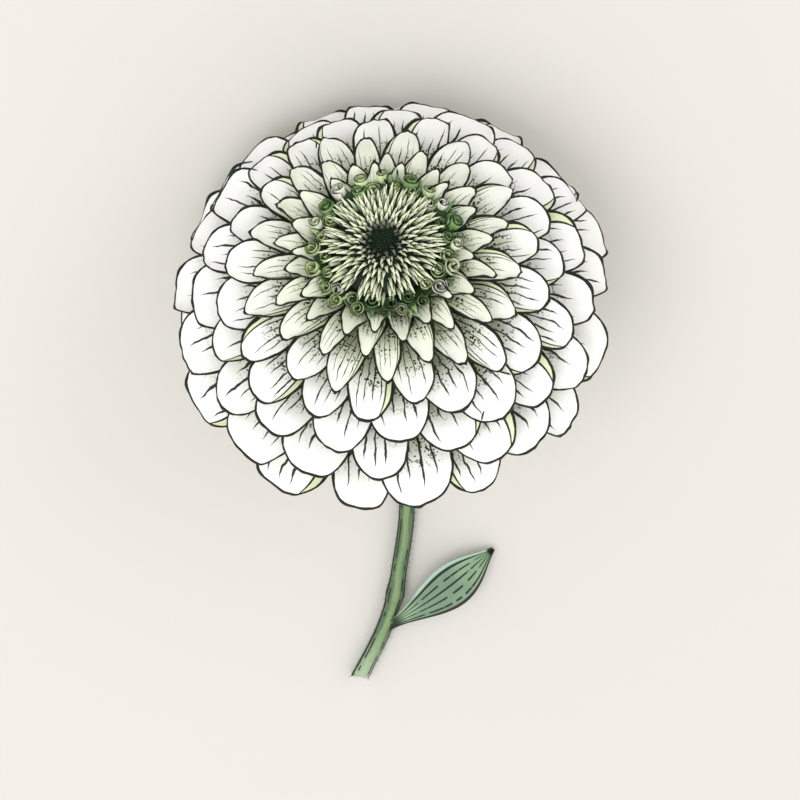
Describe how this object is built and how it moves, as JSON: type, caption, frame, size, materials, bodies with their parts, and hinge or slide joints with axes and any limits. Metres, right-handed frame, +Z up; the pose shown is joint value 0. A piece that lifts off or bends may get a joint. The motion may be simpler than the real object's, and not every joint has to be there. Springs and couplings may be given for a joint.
{
  "type": "zinnia flower",
  "caption": "Cut, fully double white zinnia with a green centre, lying on its lower petals and on a short curved stem with a leaf.",
  "frame": {"origin": "middle of the bounding box at the bottom, on the surface that the flower lies on", "axes": "+Z up; +Y along the stem, from the head to the cut end; the head's face looks to -Y and up"},
  "size_m": [0.102, 0.1496, 0.0722],
  "materials": {
    "petals": "matt white, faintly green at the base, with fine veins",
    "inner_petals": "matt pale yellow-green with fine veins",
    "rolled_florets": "matt mid green with paler rims",
    "disc_florets": "matt pale yellow-green strands round a dark green core",
    "bracts": "matt green with dark rims",
    "stem": "satin green with fine ridges and short hairs",
    "leaf": "matt green with long pale veins"
  },
  "bodies": {
    "root": {"petal_row1_01": "petals", "petal_row1_02": "petals", "petal_row1_03": "petals", "petal_row1_04": "petals", "petal_row1_05": "petals", "petal_row1_06": "petals", "petal_row1_07": "petals", "petal_row1_08": "petals", "petal_row1_09": "petals", "petal_row1_10": "petals", "petal_row1_11": "petals", "petal_row1_12": "petals", "petal_row1_13": "petals", "petal_row1_14": "petals", "petal_row1_15": "petals", "petal_row1_16": "petals", "petal_row1_17": "petals", "petal_row1_18": "petals", "petal_row1_19": "petals", "petal_row1_20": "petals", "petal_row1_21": "petals", "petal_row2_01": "petals", "petal_row2_02": "petals", "petal_row2_03": "petals", "petal_row2_04": "petals", "petal_row2_05": "petals", "petal_row2_06": "petals", "petal_row2_07": "petals", "petal_row2_08": "petals", "petal_row2_09": "petals", "petal_row2_10": "petals", "petal_row2_11": "petals", "petal_row2_12": "petals", "petal_row2_13": "petals", "petal_row2_14": "petals", "petal_row2_15": "petals", "petal_row2_16": "petals", "petal_row2_17": "petals", "petal_row2_18": "petals", "petal_row2_19": "petals", "petal_row2_20": "petals", "petal_row2_21": "petals", "petal_row3": "petals", "petal_row4": "petals", "petal_row5": "inner_petals", "rolled_florets": "rolled_florets", "disc_florets": "disc_florets", "bracts_row1": "bracts", "bracts_row2": "bracts", "bracts_row3": "bracts", "stem": "stem", "leaf": "leaf"}
  },
  "joints": []
}
